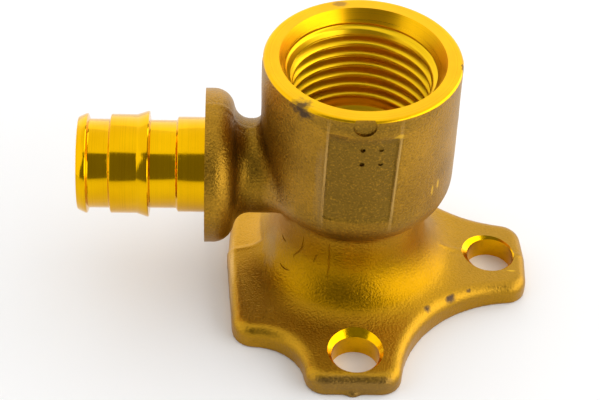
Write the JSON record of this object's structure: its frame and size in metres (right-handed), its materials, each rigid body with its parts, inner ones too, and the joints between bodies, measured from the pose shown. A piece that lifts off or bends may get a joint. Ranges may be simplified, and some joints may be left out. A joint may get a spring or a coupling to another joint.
{
  "type": "wall plate elbow",
  "caption": "Forged brass wall plate elbow: a threaded socket stands on an eared screw plate and a ribbed pipe spigot leaves it at a right angle.",
  "frame": {"origin": "on the socket axis, at the wall face of the plate", "axes": "+Z out of the wall along the socket axis, -X along the spigot, y = 0 is the parting plane"},
  "size_m": [0.0644, 0.0507, 0.0391],
  "materials": {
    "brass": "as forged, bright where it is machined"
  },
  "bodies": {
    "root": {"elbow_body": "brass"}
  },
  "joints": []
}
